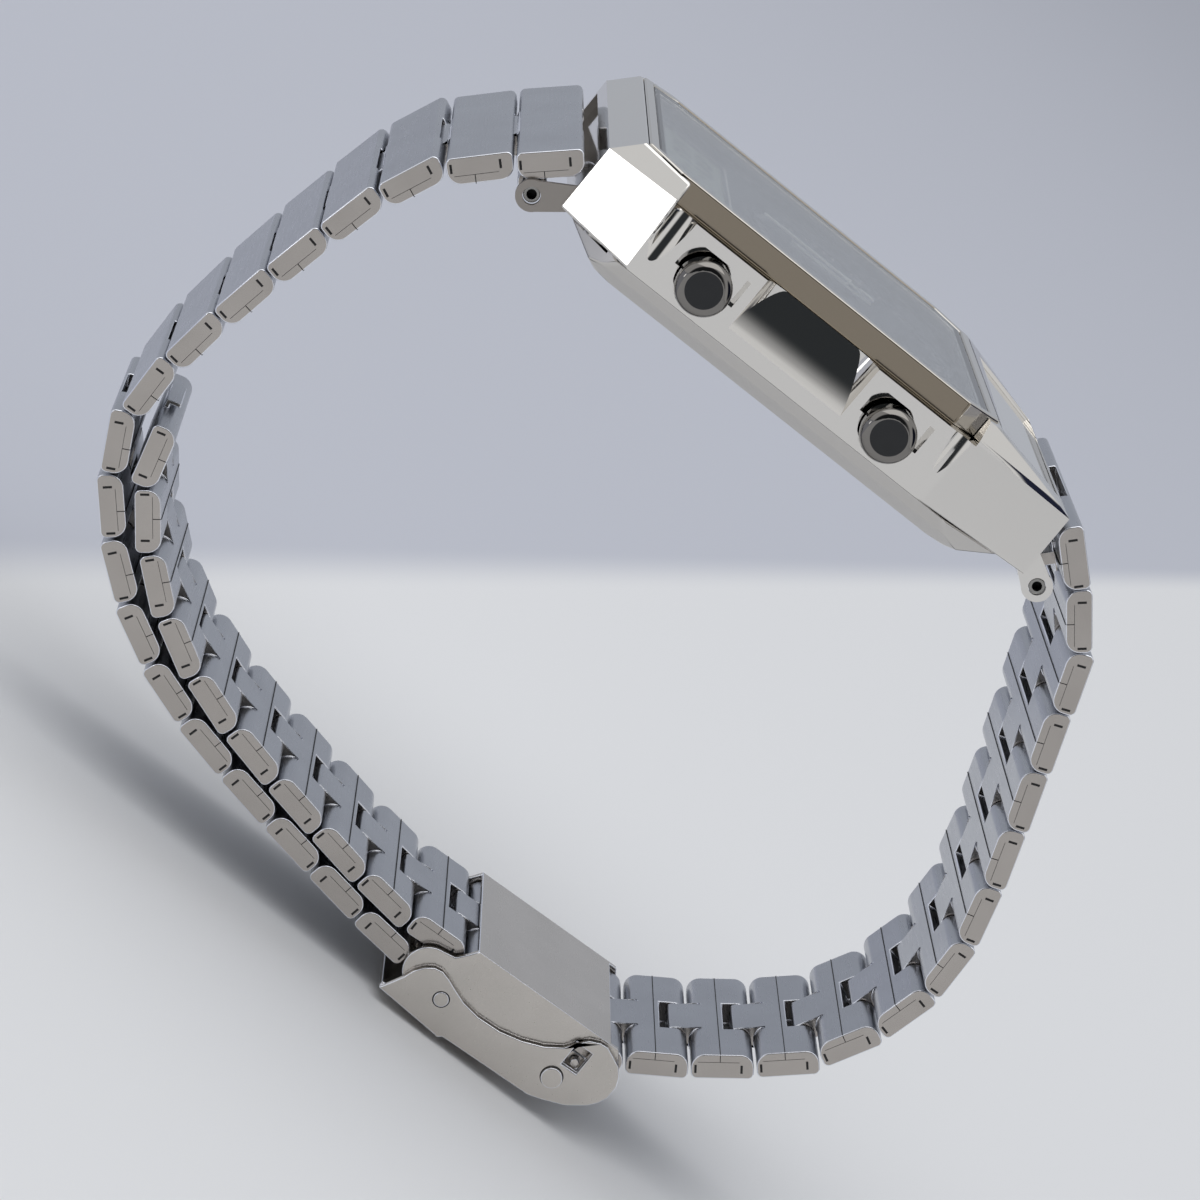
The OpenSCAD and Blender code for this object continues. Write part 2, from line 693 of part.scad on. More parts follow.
// Side wall of the clasp's base
module base_wall() {
    difference() {
        union() {
            polygon([[1.2, -plate_n], [clasp_len, -plate_n], [clasp_len + 0.5, -0.5], [clasp_len + 1, 0.1],
                [15, 0.25], [15, 3.85], [6.5, 3.8], [4.3, 4.7], [3.2, 4.4], [1.9, 3.9], [0.75, 3],
                [0, 1.9], [0, 0.8], [0.7, -0.5]]);
            translate([hook_s - 0.55, hook_n - 0.55]) circle(1.8);
        }
        lock_window();
    }
}

module clasp_base() color(steel) {
    on_clasp() {
        difference() {
            union() {
                for (side = [-1, 1]) translate([0, 0, side * (base_in + base_out) / 2])
                    slab(clasp_sheet) base_wall();
                slab(2 * base_in + 0.2) {
                    translate([1.8, -plate_n]) square([clasp_len - 1.8, 0.22]);
                    translate([4.2, link_t / 2 + 0.17]) square([clasp_len - 4, 0.25]);
                }
                // Bearing ears for the lock
                for (side = [-1, 1]) translate([0, 0, side * (base_in - 0.6)]) slab(0.4) {
                    intersection() {
                        translate([lock_s, lock_n]) circle(0.7);
                        translate([lock_s - 1, lock_n - 0.48]) square(2);
                    }
                    translate([lock_s, link_t / 2 + 0.17]) square([1.6, 0.6]);
                }
                // Cross bar for the strand's hook, and the two hinge rivets
                translate([hook_s, hook_n, -base_in - 0.1]) cylinder(r = pin_r, h = 2 * base_in + 0.2);
                for (side = [-1, 1]) translate([rivet_s, rivet_n, 0]) mirror([0, 0, side < 0 ? 1 : 0]) {
                    translate([0, 0, base_in + 0.1]) cylinder(r = rivet_r, h = cover_out - base_in);
                    translate([0, 0, cover_out + 0.05]) cylinder(r = rivet_head_r, h = 0.25);
                }
            }
            translate([lock_s, lock_n, -base_in + 0.2]) cylinder(r = 0.3 + fit, h = 2 * base_in - 0.4);
        }
    }
}

// Side wall of the cover, with its S-shaped inner edge
module cover_wall() {
    difference() {
        polygon([[17.1, cover_n + 0.4], [16.9, cover_n + 0.1], [16.2, 3.2], [15.9, 2.4], [15.45, 1.8],
            [14.9, 1.4], [14.3, 1.3], [13.6, 1.5], [12.8, 1.85], [11.8, 2.25], [10.4, 2.5], [8.6, 2.45],
            [7, 2.1], [5.5, 1.5], [4.4, 0.75], [3.9, 0], [3.3, -0.7], [2.6, -1], [2, -1.05],
            [0.6, -0.4], [0.1, 0.2], [-0.2, 0.9], [-0.2, 1.9], [0.1, 2.6], [0.6, 3.2], [1.8, 4.1],
            [3.2, 4.65], [4.3, cover_n + 0.6], [11.5, cover_n + 0.7], [11.8, cover_n + 0.95],
            [12, cover_n + 0.9]]);
        translate([rivet_s, rivet_n]) circle(rivet_r + fit);
        lock_window();
    }
}

module clasp_cover() color(steel) {
    on_clasp() {
        for (side = [-1, 1]) translate([0, 0, side * (cover_in + cover_out) / 2]) {
            slab(clasp_sheet) cover_wall();
            translate([13.2, 2.95, side * 0.2]) slab(0.15) circle(0.54);
        }
        slab(2 * cover_in + 0.2) polygon([[5.2, cover_n + 0.2], [17.1, cover_n], [17.1, cover_n + 0.4],
            [12, cover_n + 0.9], [11.8, cover_n + 0.95], [11.5, cover_n + 0.7], [5.2, cover_n + 0.6]]);
    }
}

module clasp_lock() color(steel) {
    on_clasp() {
        translate([lock_s, lock_n, -base_in - 0.2]) cylinder(r = 0.3, h = 2 * base_in + 0.4);
        slab(2 * base_in - 2) {
            translate([lock_s, lock_n]) circle(0.45);
            translate([lock_s, lock_n + 0.25]) square([6, 0.35]);
        }
    }
}

module clasp_links() color(steel) {
    for (i = [0 : links_in_clasp - 1])
        in_loop(pivot_clasp + i * pitch * unit(dir_clasp), dir_clasp, -1) link(link_wid_clasp, link_wid_clasp);
}

case_body();
bezel_frame();
crystal();
dial();
lcd_panel();
hour_hand();
minute_hand();
movement();
battery();
back_cover();
back_gasket();
spring_bar_6();
spring_bar_12();
pusher_9_upper();
pusher_9_lower();
pusher_3();
end_link_12();
link_a(2);  // link_a02
link_a(3);  // link_a03
link_a(4);  // link_a04
link_a(5);  // link_a05
link_a(6);  // link_a06
link_a(7);  // link_a07
link_a(8);  // link_a08
link_a(9);  // link_a09
link_a(10);  // link_a10
link_a(11);  // link_a11
link_a(12);  // link_a12
link_a(13);  // link_a13
link_a(14);  // link_a14
link_a(15);  // link_a15
link_a(16);  // link_a16
link_a(17);  // link_a17
link_a(18);  // link_a18
end_link_6();
link_b(2);  // link_b02
link_b(3);  // link_b03
link_b(4);  // link_b04
link_b(5);  // link_b05
link_b(6);  // link_b06
link_b(7);  // link_b07
link_b(8);  // link_b08
link_b(9);  // link_b09
link_b(10);  // link_b10
link_b(11);  // link_b11
link_b(12);  // link_b12
link_b(13);  // link_b13
clasp_base();
clasp_cover();
clasp_lock();
clasp_links();
tail_end();  // tail_01
tail(2);  // tail_02
tail(3);  // tail_03
tail(4);  // tail_04
tail(5);  // tail_05
tail(6);  // tail_06
tail(7);  // tail_07
tail(8);  // tail_08
tail(9);  // tail_09
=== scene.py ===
import json
import math

import bmesh
import bpy
from mathutils import Matrix, Vector

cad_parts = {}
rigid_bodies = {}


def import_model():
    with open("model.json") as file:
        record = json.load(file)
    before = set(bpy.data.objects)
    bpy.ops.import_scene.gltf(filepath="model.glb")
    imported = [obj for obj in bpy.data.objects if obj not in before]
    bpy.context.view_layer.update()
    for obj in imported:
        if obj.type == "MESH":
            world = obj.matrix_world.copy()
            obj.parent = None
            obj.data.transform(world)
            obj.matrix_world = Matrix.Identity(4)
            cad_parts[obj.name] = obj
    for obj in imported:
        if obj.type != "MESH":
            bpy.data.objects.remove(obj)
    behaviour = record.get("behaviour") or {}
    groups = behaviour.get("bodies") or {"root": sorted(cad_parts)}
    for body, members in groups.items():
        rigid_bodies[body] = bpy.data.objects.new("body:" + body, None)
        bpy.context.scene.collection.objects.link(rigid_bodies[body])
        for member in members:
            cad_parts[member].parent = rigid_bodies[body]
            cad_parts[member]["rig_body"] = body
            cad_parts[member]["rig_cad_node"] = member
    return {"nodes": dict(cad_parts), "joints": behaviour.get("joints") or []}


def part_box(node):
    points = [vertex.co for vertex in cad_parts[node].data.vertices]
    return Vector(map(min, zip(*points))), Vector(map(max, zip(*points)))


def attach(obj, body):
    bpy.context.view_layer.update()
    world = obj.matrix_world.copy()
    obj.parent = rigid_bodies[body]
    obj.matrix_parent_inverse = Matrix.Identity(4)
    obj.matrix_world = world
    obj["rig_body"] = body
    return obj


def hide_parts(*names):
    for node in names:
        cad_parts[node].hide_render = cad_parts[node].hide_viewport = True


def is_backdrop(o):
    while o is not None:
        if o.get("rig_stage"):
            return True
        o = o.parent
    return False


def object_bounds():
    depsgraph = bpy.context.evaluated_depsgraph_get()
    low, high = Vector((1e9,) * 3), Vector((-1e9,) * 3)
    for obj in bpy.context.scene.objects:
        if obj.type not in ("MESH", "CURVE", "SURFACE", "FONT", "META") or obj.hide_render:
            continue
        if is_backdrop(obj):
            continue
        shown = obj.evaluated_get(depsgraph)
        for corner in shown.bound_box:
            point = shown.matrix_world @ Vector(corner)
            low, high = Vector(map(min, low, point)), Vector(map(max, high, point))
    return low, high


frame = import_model()
cad_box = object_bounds()
mm = 0.001

# Case body, machined from a stainless steel bar and polished to a mirror on every facet.
# The edges between the facets are broken by a fine chamfer, which draws the bright lines.
def linear(code):
    """An sRGB hex colour as the linear RGBA that a shader wants."""
    parts = [int(code[i : i + 2], 16) / 255 for i in (1, 3, 5)]
    return [p / 12.92 if p <= 0.04045 else ((p + 0.055) / 1.055) ** 2.4 for p in parts] + [1]


def add(tree, kind, inputs=(), **settings):
    """Adds a shader node with its settings and what feeds its inputs: a value, or a node's output."""
    made = tree.nodes.new(kind)
    for name, value in settings.items():
        setattr(made, name, value)
    for name, value in dict(inputs).items():
        if isinstance(value, bpy.types.NodeSocket):
            tree.links.new(value, made.inputs[name])
        else:
            made.inputs[name].default_value = value
    return made


def bare_finish(name, metallic=0.0):
    """A new material, its node tree, its shader and the coordinates that its patterns follow."""
    made = bpy.data.materials.new(name)
    made.use_nodes = True
    tree = made.node_tree
    shader = tree.nodes["Principled BSDF"]
    shader.inputs["Metallic"].default_value = metallic
    return made, tree, shader, add(tree, "ShaderNodeTexCoord").outputs["Object"]


def uneven_gloss(tree, shader, pattern, low, high):
    """Lets a pattern vary a shader's roughness between two values, and gives the pattern back."""
    gloss = add(tree, "ShaderNodeMapRange", {"Value": pattern.outputs["Fac"], "To Min": low, "To Max": high})
    tree.links.new(gloss.outputs["Result"], shader.inputs["Roughness"])
    return pattern


def polished_metal(name, tone, haze):
    """Polished steel: a clear mirror with faint wiping marks, 3 mm across, in its gloss."""
    made, tree, shader, place = bare_finish(name, 1)
    shader.inputs["Base Color"].default_value = linear(tone)
    wipes = add(tree, "ShaderNodeTexNoise", {"Vector": place, "Scale": 1 / (3 * mm), "Detail": 4})
    uneven_gloss(tree, shader, wipes, haze, haze + 0.05)
    return made


def brushed_metal(name, tone, dark_tone, rough, grain, spread=0.14):
    """Brushed steel: grain lines along X, drawn 0.12 mm apart so that they still show."""
    made, tree, shader, place = bare_finish(name, 1)
    drawn = add(tree, "ShaderNodeMapping", {"Vector": place, "Scale": (0.04, 1, 1)})
    lines = add(tree, "ShaderNodeTexNoise", {"Vector": drawn.outputs["Vector"], "Scale": 1 / (0.12 * mm), "Detail": 3})
    uneven_gloss(tree, shader, lines, rough, rough + spread)
    blotch = add(tree, "ShaderNodeTexNoise", {"Vector": place, "Scale": 1 / (4 * mm), "Detail": 3})
    tint = add(tree, "ShaderNodeMix", {0: blotch.outputs["Fac"], 6: linear(tone), 7: linear(dark_tone)},
               data_type="RGBA")
    relief = add(tree, "ShaderNodeBump", {"Height": lines.outputs["Fac"], "Strength": grain, "Distance": 0.02 * mm})
    tree.links.new(tint.outputs[2], shader.inputs["Base Color"])
    tree.links.new(relief.outputs["Normal"], shader.inputs["Normal"])
    return made


def finished(piece, body, slot, *nodes):
    """Gives a piece its body and lets it stand for CAD nodes, which it hides. The slot is not used."""
    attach(piece, body)
    if nodes:
        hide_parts(*nodes)
    return piece


def body_of(node):
    """The body that a CAD node rides on."""
    return frame["nodes"][node]["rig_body"]


def applied(piece):
    """Turns a piece's modifiers into mesh."""
    bpy.context.view_layer.update()
    shape = bpy.data.meshes.new_from_object(piece.evaluated_get(bpy.context.evaluated_depsgraph_get()))
    piece.modifiers.clear()
    piece.data = shape


flat_turn, crease_turn = math.radians(11), math.radians(31)
side_lean = 0.9


def dressed(node, name, material, edge, side_material=None, edge_material=None, cutter=None,
            sharp=lambda spot: False):
    """A merged copy of a CAD node with rounded edges and, if given, a material for its sides and one for its edges; on
    the bezel and links the sides carry a painted reflection, and on links and clasp the edges a painted highlight.

    Faces that meet under flat_turn are shaded as one. Edges turned by more than crease_turn are
    rounded, unless sharp says no. Sides are the faces whose normal leans to X by side_lean.
    """
    piece = frame["nodes"][node].copy()
    piece.data = piece.data.copy()
    piece.name = name
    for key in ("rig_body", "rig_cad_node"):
        del piece[key]
    piece.parent = None
    bpy.context.scene.collection.objects.link(piece)
    solid = bmesh.new()
    solid.from_mesh(piece.data)
    bmesh.ops.remove_doubles(solid, verts=solid.verts, dist=0.001 * mm)
    bmesh.ops.dissolve_limit(solid, angle_limit=math.radians(1), verts=solid.verts, edges=solid.edges,
                             delimit={"NORMAL"})
    rounded = solid.edges.layers.float.new("bevel_weight_edge")
    for line in solid.edges:
        turn = line.calc_face_angle(0)
        line.smooth = turn < flat_turn
        line[rounded] = turn > crease_turn and not sharp((line.verts[0].co + line.verts[1].co) / 2)
    for face in solid.faces:
        face.smooth = True
        face.material_index = int(side_material is not None and abs(face.normal.x) > side_lean)
    piece.data.materials.clear()
    for finish in filter(None, (material, side_material, edge_material)):
        piece.data.materials.append(finish)
    solid.to_mesh(piece.data)
    solid.free()
    rounding = piece.modifiers.new("edges", "BEVEL")
    rounding.width = edge
    rounding.segments = 3
    rounding.limit_method = "WEIGHT"
    rounding.material = 2 if edge_material else -1
    rounding.use_clamp_overlap = False
    if cutter:
        cut = piece.modifiers.new("grooves", "BOOLEAN")
        cut.object = cutter
        cut.solver = "EXACT"
        cut.material_mode = "TRANSFER"
    piece.modifiers.new("shading", "WEIGHTED_NORMAL").keep_sharp = True
    applied(piece)
    return piece


case_steel = polished_metal("polished_stainless_steel", "#dedbd6", 0.03)
painted_shade_steel = polished_metal("painted_shade_stainless_steel", "#a8a29c", 0.45)
ears_x, ears_y, guards_y, end_y = 11.95 * mm, 17 * mm, 13.5 * mm, 19.4 * mm


def kept_sharp(spot):
    """True between the ears and round the pushers' guards, where a rounding would cut into the next one."""
    return abs(spot.y) > ears_y if abs(spot.x) < ears_x else abs(spot.y) < guards_y


case = dressed("case_body", "case", case_steel, 0.18 * mm, sharp=kept_sharp)
# Faces past the 12 o'clock end, the ears and their flanks, take a darker, hazier copy of the steel: painted shade.
case.data.materials.append(painted_shade_steel)
for face in case.data.polygons:
    if face.center.y > end_y:
        face.material_index = 1
finished(case, "case", "case_steel", "case_body")

# Back cover, pressed and turned from the same steel and polished less finely.
# It is pressed on over a black rubber ring that shows only as a dark line.
back_steel = polished_metal("buffed_stainless_steel", "#c9c6c2", 0.09)
finished(dressed("back_cover", "back", back_steel, 0.15 * mm), "case", "case_steel", "back_cover")


def plain(name, tone, rough, metal=0.0, mottle=0.04, size=1.0):
    """A moulded, printed or plated surface with a faint unevenness of the given size in millimetres."""
    made, tree, shader, place = bare_finish(name, metal)
    shader.inputs["Base Color"].default_value = linear(tone)
    cloud = add(tree, "ShaderNodeTexNoise", {"Vector": place, "Scale": 1 / (size * mm), "Detail": 3})
    uneven_gloss(tree, shader, cloud, rough, rough + mottle)
    return made


def refinish(node, material):
    """Gives a CAD node that is shown as it is its material."""
    mesh = frame["nodes"][node].data
    mesh.materials.clear()
    mesh.materials.append(material)


refinish("back_gasket", plain("nitrile_rubber", "#141414", 0.6))

# Movement block, moulded in grey plastic, with its coin cell in a nickel plated can.
# Both lie in the case's cavity and show only when the back is off.
refinish("movement", plain("moulded_polyamide", "#6f6f6a", 0.45))
refinish("battery", plain("nickel_plated_can", "#c4c5c4", 0.22, metal=1.0))

# Dial, a printed brass plate in satin slate with a raised ring, applied bars and a minute track.
# The display behind its window is grey-green glass with dark seven-segment digits.
dial_paint = plain("satin_dial_paint", "#262b36", 0.55, mottle=0.1, size=0.3)
print_white = plain("pad_printed_ink", "#d9dadb", 0.5)
refinish("dial", dial_paint)
refinish("lcd_panel", plain("display_film", "#8b9687", 0.25, mottle=0.08, size=0.5))
dial_low, dial_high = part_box("dial")
lcd_low, lcd_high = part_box("lcd_panel")
hands_axis = next(Vector(j["pos_m"]) for j in frame["joints"] if j["name"] == "minute_turn")


def new_piece(name, solid, material):
    """A mesh object from a bmesh, which is freed."""
    mesh = bpy.data.meshes.new(name)
    solid.to_mesh(mesh)
    solid.free()
    mesh.materials.append(material)
    piece = bpy.data.objects.new(name, mesh)
    bpy.context.scene.collection.objects.link(piece)
    return piece


def bar(solid, size, place, turn=Matrix()):
    """A small block of the given size, turned and put in its place."""
    bmesh.ops.create_cube(solid, size=1, matrix=Matrix.Translation(place) @ turn @ Matrix.Diagonal((*size, 1)))


ink_h, track_r, tick_w = 0.03 * mm, 8.1 * mm, 0.12 * mm
hour_tick, minute_tick = 0.9 * mm, 0.45 * mm
ink = bmesh.new()
dial_top = lcd_high.z + 0.1 * mm
for minute in range(60):
    turn = Matrix.Rotation(-math.radians(6 * minute), 4, "Z")
    long = hour_tick if minute % 5 == 0 else minute_tick
    reach = turn @ Vector((0, track_r - long / 2, 0))
    bar(ink, (tick_w, long, ink_h), Vector((hands_axis.x, hands_axis.y, dial_top)) + reach, turn)
rim, rim_w = 0.8 * mm, 0.15 * mm
frame_w, frame_l = lcd_high.x - lcd_low.x + rim, lcd_high.y - lcd_low.y + rim
lcd_mid = (lcd_low + lcd_high) / 2
for side in (-1, 1):
    bar(ink, (frame_w, rim_w, ink_h), Vector((lcd_mid.x, lcd_mid.y + side * frame_l / 2, dial_top)))
    bar(ink, (rim_w, frame_l, ink_h), Vector((lcd_mid.x + side * frame_w / 2, lcd_mid.y, dial_top)))
finished(new_piece("dial_print", ink, print_white), "case", "dial_face")

digit_w, digit_h, digit_step, stroke = 1.7 * mm, 3 * mm, 2.7 * mm, 0.34 * mm
dot_y = 0.6 * mm
segments = {"1": "bc", "2": "abged", "0": "abcdef"}
spots = {
    "a": (0, 1, 0), "g": (0, 0, 0), "d": (0, -1, 0),
    "b": (1, 0.5, 1), "c": (1, -0.5, 1), "e": (-1, -0.5, 1), "f": (-1, 0.5, 1),
}
digits = bmesh.new()
lcd_face = Vector((lcd_mid.x, lcd_mid.y, lcd_high.z))
for place, sign in enumerate("12:00"):
    x = (place - 2) * digit_step
    if sign == ":":
        for y in (-dot_y, dot_y):
            bar(digits, (stroke, stroke, ink_h), lcd_face + Vector((x, y, ink_h / 2)))
        continue
    for letter in segments[sign]:
        across, up, upright = spots[letter]
        size = (stroke, digit_h / 2 - stroke * 1.2, ink_h) if upright else (digit_w - stroke * 1.2, stroke, ink_h)
        spot = Vector((x + across * digit_w / 2, up * digit_h / 2, ink_h / 2))
        bar(digits, size, lcd_face + spot)
digit_black = plain("liquid_crystal_segments", "#171a18", 0.3)
finished(new_piece("display_digits", digits, digit_black), "case", "display")

# Hands, stamped brass with white paint and a bevelled upper edge.
# Each is pressed on the movement's post.
hand_paint = plain("white_hand_paint", "#e4e4e1", 0.35)
for node, body in (("hour_hand", "hour"), ("minute_hand", "minute")):
    finished(dressed(node, node + "_painted", hand_paint, 0.03 * mm), body, "hands", node)

# Bezel frame, a polished steel frame that holds the crystal; its sides facing X take a darker, warmer steel, a painted
# reflection of warm brown surroundings.
# The crystal is a flat mineral glass with ground edges, pressed into the frame.
bezel_steel = polished_metal("polished_bezel_steel", "#c9c5be", 0.05)
bezel_side_painted_reflection = polished_metal("bezel_side_painted_warm_reflection", "#8f8576", 0.1)
bezel = dressed("bezel_frame", "bezel", bezel_steel, 0.12 * mm, bezel_side_painted_reflection)
finished(bezel, "case", "bezel_steel", "bezel_frame")
glass, glass_tree, clear, place = bare_finish("mineral_glass")
clear.inputs["Base Color"].default_value = linear("#f2f5f6")
clear.inputs["Transmission Weight"].default_value = 1
clear.inputs["IOR"].default_value = 1.52
wear = add(glass_tree, "ShaderNodeTexNoise", {"Vector": place, "Scale": 1 / (5 * mm), "Detail": 5})
uneven_gloss(glass_tree, clear, wear, 0, 0.05)
finished(dressed("crystal", "crystal_glass", glass, 0.12 * mm), "case", "crystal_glass", "crystal")

# Pushers, turned steel buttons: a polished ring round a flat centre; the ring's steel is toned dark and the centre
# covered by a near-black disc, both a painted dark reflection.
# Each slides in a bore of the case and is held by a flange inside.
pusher_steel = polished_metal("pusher_steel_painted_dark_reflection", "#83807c", 0.03)
reflection_disc_paint = plain("black_inlay", "#121417", 0.18, mottle=0.12, size=0.4)
reflection_disc_r, reflection_disc_h = 1.25 * mm, 0.03 * mm
for node, body in (("pusher_9_upper", "push_9_upper"), ("pusher_9_lower", "push_9_lower"), ("pusher_3", "push_3")):
    finished(dressed(node, node + "_ring", pusher_steel, 0.05 * mm), body, "pusher_steel", node)
    low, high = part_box(node)
    side = -1 if low.x < 0 else 1
    face = Vector((low.x if side < 0 else high.x, (low.y + high.y) / 2, (low.z + high.z) / 2))
    # A thin near-black disc on each pusher's flat face: a painted dark reflection.
    disc = bmesh.new()
    bmesh.ops.create_cone(disc, cap_ends=True, segments=48, radius1=reflection_disc_r, radius2=reflection_disc_r * 0.96, depth=reflection_disc_h,
                          matrix=Matrix.Translation(face) @ Matrix.Rotation(side * math.pi / 2, 4, "Y"))
    finished(new_piece(node + "_inlay", disc, reflection_disc_paint), body, "pusher_steel")

# Spring bars, tubes drawn from steel with a sprung tip at each end, bored out at their ends.
# They hold the bracelet in the case's ears, whose holes have a bright broken edge.
bar_steel = brushed_metal("drawn_steel", "#a8a7a5", "#8f8d88", 0.2, 0.2)
shade = plain("shaded_recess", "#0d0d0e", 0.6)
bore_r, bore_deep = 0.34 * mm, 0.8 * mm
along_x = Matrix.Rotation(math.pi / 2, 4, "Y")
for node in ("spring_bar_6", "spring_bar_12"):
    low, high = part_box(node)
    middle = (low + high) / 2
    bores = bmesh.new()
    for x in (low.x, high.x):
        bmesh.ops.create_cone(bores, cap_ends=True, segments=32, radius1=bore_r, radius2=bore_r, depth=2 * bore_deep,
                              matrix=Matrix.Translation((x, middle.y, middle.z)) @ along_x)
    # The cutter's near-black shade material goes onto the bores' walls: painted shade inside the bores.
    cutter = new_piece("cutter", bores, shade)
    finished(dressed(node, node + "_tube", bar_steel, 0.05 * mm, cutter=cutter), body_of(node), "bar_steel", node)
    bpy.data.objects.remove(cutter)

# Bracelet links, folded from 0.45 mm sheet steel round a filler strip and brushed across.
# The sheared sides have a smoother finish and a warmer tone, a painted warm reflection, and keep short slits by the
# folds, a seam and a fine line, all drawn in painted shade.
link_steel = brushed_metal("brushed_sheet_steel", "#babdc3", "#a9abb1", 0.22, 0.3)
sheared_side_warm_reflection = brushed_metal("sheared_sheet_steel_painted_warm_reflection", "#bfb9b3", "#aca6a0", 0.22, 0.02, 0.02)
# The edge steel is lighter and bluer than steel can be: a painted highlight on the rounded edges, over their smoother
# rubbed gloss.
rubbed_edge_highlight_steel = polished_metal("rubbed_sheet_edge_painted_highlight", "#eceef5", 0.16)
pitch, link_t, edge = 4.5 * mm, 1.75 * mm, 0.07 * mm
slit_l, slit_w, slit_s, slit_n = 0.6 * mm, 0.16 * mm, 1.58 * mm, 0.65 * mm
line_l, line_w, line_n = 2.86 * mm, 0.03 * mm, 1.15 * mm
seam_w, seam_s = 0.06 * mm, 0.1 * mm
shade_block_t, sunk = 0.1 * mm, 0.045 * mm


def outer_face(node):
    """Middle, direction along the strand and outward direction of a link's largest face."""
    sums = {}
    for face in frame["nodes"][node].data.polygons:
        if abs(face.normal.x) < 0.1:
            key = tuple(round(c, 2) for c in face.normal)
            area, middle, normal = sums.get(key, (0, Vector(), Vector()))
            sums[key] = (area + face.area, middle + face.area * face.center, normal + face.area * face.normal)
    area, middle, normal = max(sums.values(), key=lambda found: found[0])
    outward = normal.normalized()
    return middle / area, outward.cross(Vector((1, 0, 0))), outward


def link_piece(node, offsets=(0,)):
    """A link with its slits, fine line and seam drawn in painted shade: thin near-black blocks sunk into its sides and
    its inner face.

    Sizes end in s for a place along the strand and in n for a depth below the outer face.
    """
    piece = dressed(node, node + "_folded", link_steel, edge, sheared_side_warm_reflection, rubbed_edge_highlight_steel)
    piece.data.materials.append(shade)
    middle, along, outward = outer_face(node)
    low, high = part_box(node)
    turn = Matrix((Vector((1, 0, 0)), along, outward)).transposed().to_4x4()
    solid = bmesh.new()
    solid.from_mesh(piece.data)
    steel_faces = len(solid.faces)
    for offset in offsets:
        def at(x, s, n):
            return Vector((x, middle.y, middle.z)) + (offset + s) * along - n * outward

        for x in (low.x + sunk, high.x - sunk):
            for s in (-slit_s, slit_s):
                bar(solid, (shade_block_t, slit_w, slit_l), at(x, s, slit_n), turn)
            bar(solid, (shade_block_t, line_l, line_w), at(x, 0, line_n), turn)
            bar(solid, (shade_block_t, seam_w, link_t - line_n - edge), at(x, seam_s, (link_t + line_n - edge) / 2), turn)
        bar(solid, (high.x - low.x - 2 * edge, seam_w, shade_block_t),
            at((low.x + high.x) / 2, seam_s, link_t - sunk), turn)
    solid.faces.ensure_lookup_table()
    for face in solid.faces[steel_faces:]:
        face.material_index = 3
    solid.to_mesh(piece.data)
    solid.free()
    return finished(piece, body_of(node), "link_steel", node)


links = [node for node in frame["nodes"] if node.startswith(("end_link", "link_", "tail_"))]
for node in sorted(links):
    link_piece(node)
link_piece("clasp_links", [(i - 1.5) * pitch for i in range(4)])

# Clasp, pressed from sheet steel with a satin grain: base, fold-over cover and spring lock.
# Base and cover are riveted together, and the lock's pin shows in a small window. A near-black ring of painted shade
# rims each rivet's head, and another the dimple that the cover snaps shut with.
clasp_steel = brushed_metal("satin_sheet_steel", "#d6d0c9", "#c4bfb8", 0.18, 0.25)
for node in ("clasp_base", "clasp_cover", "clasp_lock"):
    # The rounded edges take the lighter edge steel: a painted highlight.
    piece = dressed(node, node + "_pressed", clasp_steel, 0.06 * mm, clasp_steel, rubbed_edge_highlight_steel)
    finished(piece, body_of(node), "clasp_steel", node)

rivet = next(Vector(j["pos_m"]) for j in frame["joints"] if j["name"] == "cover_hinge")
dimple = Vector((0, -9.17, -46.27)) * mm
cover_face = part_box("clasp_cover")[1].x - 0.075 * mm
wire_r = 0.04 * mm
across_y = along_x @ Matrix.Rotation(math.pi / 2, 4, "X")
shade_rings = bmesh.new()
for side in (-1, 1):
    for spot, r in ((rivet, 0.78 * mm), (dimple, 0.57 * mm)):
        middle = Vector((side * cover_face, spot.y, spot.z))
        wire = bmesh.ops.create_circle(shade_rings, segments=8, radius=wire_r,
                                       matrix=Matrix.Translation(middle + Vector((0, 0, r))) @ across_y)
        lines = {line for vert in wire["verts"] for line in vert.link_edges}
        bmesh.ops.spin(shade_rings, geom=list(wire["verts"]) + list(lines), cent=middle, axis=(1, 0, 0), angle=math.tau,
                       steps=48, use_merge=True)
bmesh.ops.remove_doubles(shade_rings, verts=shade_rings.verts, dist=0.001 * mm)
bmesh.ops.recalc_face_normals(shade_rings, faces=shade_rings.faces)
finished(new_piece("clasp_painted_shade_rings", shade_rings, shade), body_of("clasp_cover"), "clasp_steel")

# Camera with a long lens at the 9 o'clock side. It looks 17 degrees down on the watch, which lies
# turned by 38.9 degrees in the picture, and stands 0.4 degrees round.
look_down, watch_turn, look_round = (math.radians(d) for d in (17, 38.9, -0.4))
away = Vector((math.sin(look_round), -math.sin(look_down) * math.cos(look_round),
               math.cos(look_down) * math.cos(look_round)))
right = Vector((0, 1, 0)).cross(away).normalized()
below = away.cross(right)
seen = Matrix((away, right, below)).transposed() @ Matrix((
    (1, 0, 0),
    (0, -math.cos(watch_turn), math.sin(watch_turn)),
    (0, -math.sin(watch_turn), -math.cos(watch_turn))))
scene = bpy.context.scene
scene.view_settings.view_transform = "Standard"
camera = bpy.data.objects.new("camera", bpy.data.cameras.new("camera"))
scene.collection.objects.link(camera)
axes = seen.transposed()
pose = Matrix((axes.col[0], -axes.col[1], -axes.col[2])).transposed().to_4x4()
camera_place = Vector((-285.7, 55.2, 47.2)) * mm
camera.matrix_world = Matrix.Translation(camera_place) @ pose
camera.data.sensor_width = 36
camera.data.lens = 132
camera.data.clip_start = 0.01
scene.camera = camera

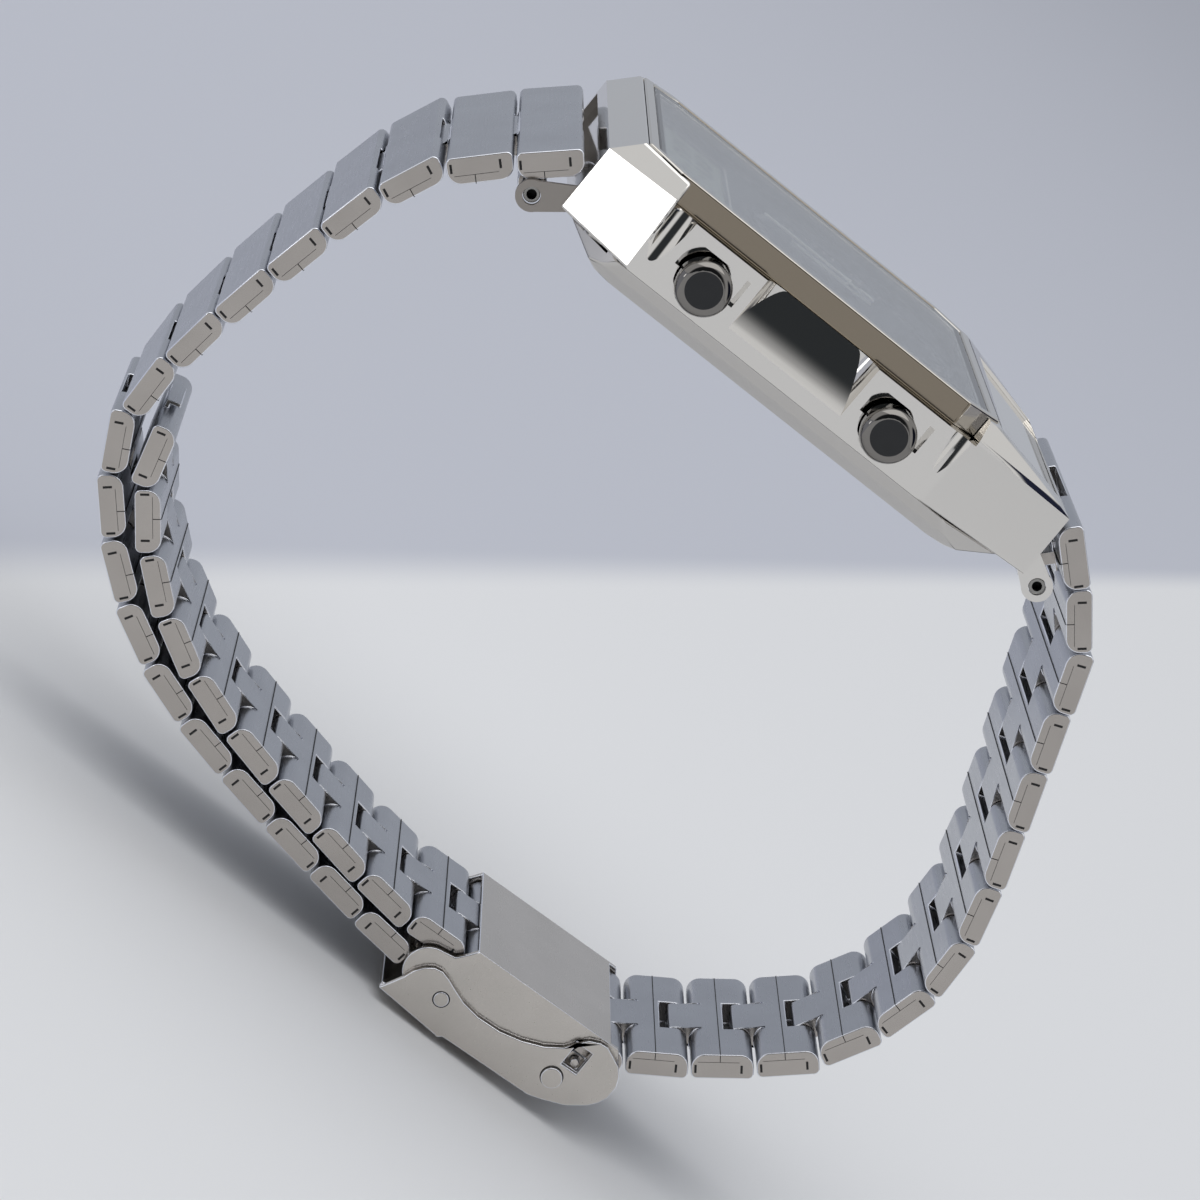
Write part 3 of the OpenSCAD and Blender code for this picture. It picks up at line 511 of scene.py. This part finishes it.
# Studio: a pale sheet under the clasp whose far part, past a straight joint, is greyer, an even
# sky and two soft boxes. The polished steel mirrors three parts of the sky: its greyer far side, a
# dark screen behind the camera and a small dark blue one past 6 o'clock.
low, high = cad_box
floor_size, floor_gap, joint_soft = 6, 0.5 * mm, 3 * mm
ground = bmesh.new()
bmesh.ops.create_grid(ground, x_segments=1, y_segments=1, size=floor_size / 2,
                      matrix=Matrix.Translation((0, 0, low.z - floor_gap)))
paper, paper_tree, paper_shader, place = bare_finish("pale_floor")
paper_shader.inputs["Roughness"].default_value = 0.9
joint_ends = (Vector((20.3, 30.3, 0)) * mm, Vector((404.2, -155.7, 0)) * mm)
across = Vector((0, 0, 1)).cross(joint_ends[1] - joint_ends[0]).normalized()
depth = add(paper_tree, "ShaderNodeVectorMath", {0: place, 1: across}, operation="DOT_PRODUCT")
start = joint_ends[0].dot(across)
sweep = add(paper_tree, "ShaderNodeMapRange", {"Value": depth.outputs["Value"], "From Min": start - joint_soft,
                                              "From Max": start + joint_soft}, interpolation_type="SMOOTHSTEP")
tone = add(paper_tree, "ShaderNodeMix", {0: sweep.outputs["Result"], 6: linear("#e2e3e5"), 7: linear("#c0c3cd")},
           data_type="RGBA")
paper_tree.links.new(tone.outputs[2], paper_shader.inputs["Base Color"])
new_piece("floor", ground, paper)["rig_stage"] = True

sky = bpy.data.worlds.new("studio")
scene.world = sky
sky.use_nodes = True
sky_tree = sky.node_tree
gaze = add(sky_tree, "ShaderNodeTexCoord").outputs["Generated"]


def sky_part(toward, edge, core):
    """How far a gaze lies in a soft-edged round part of the sky: 0 outside its edge, 1 in its core.

    Edge and core are cosines of the angle to the part's middle.
    """
    aside = add(sky_tree, "ShaderNodeVectorMath", {0: gaze, 1: Vector(toward).normalized()}, operation="DOT_PRODUCT")
    return add(sky_tree, "ShaderNodeMapRange", {"Value": aside.outputs["Value"], "From Min": edge, "From Max": core},
               interpolation_type="SMOOTHSTEP").outputs["Result"]


sky_tone = linear("#dfe0e2")
sky_parts = (
    ((1, 0, 0), 0.3, 0.95, "#b4b8c0"),
    ((-0.95, 0.1, 0.27), 0.80, 0.93, "#303336"),
    ((-0.2, -0.89, 0.41), 0.90, 0.96, "#23273a"),
)
for toward, rim, core, part_tone in sky_parts:
    sky_tone = add(sky_tree, "ShaderNodeMix", {0: sky_part(toward, rim, core), 6: sky_tone, 7: linear(part_tone)},
                   data_type="RGBA").outputs[2]
sky_tree.links.new(sky_tone, sky_tree.nodes["Background"].inputs["Color"])


def soft_lamp(name, direction, distance, size, power, aim=(low + high) / 2):
    """A square soft box that shines at a point, the watch's middle if none is given."""
    lamp = bpy.data.lights.new(name, "AREA")
    lamp.size = size
    lamp.energy = power
    made = bpy.data.objects.new(name, lamp)
    scene.collection.objects.link(made)
    toward = Vector(direction).normalized()
    facing = toward.to_track_quat("Z", "Y").to_matrix().to_4x4()
    made.matrix_world = Matrix.Translation(aim + toward * distance) @ facing


corner_facet = Vector((-13.3, 16.7, 4.6)) * mm
soft_lamp("top_box", (-0.15, 0.25, 0.95), 1.5, 1.8, 10)
soft_lamp("left_card", (-0.68, 0.72, -0.15), 0.13, 0.02, 0.0034, corner_facet)

size = {"cad": [list(c) for c in cad_box], "visual": [list(c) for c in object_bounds()]}
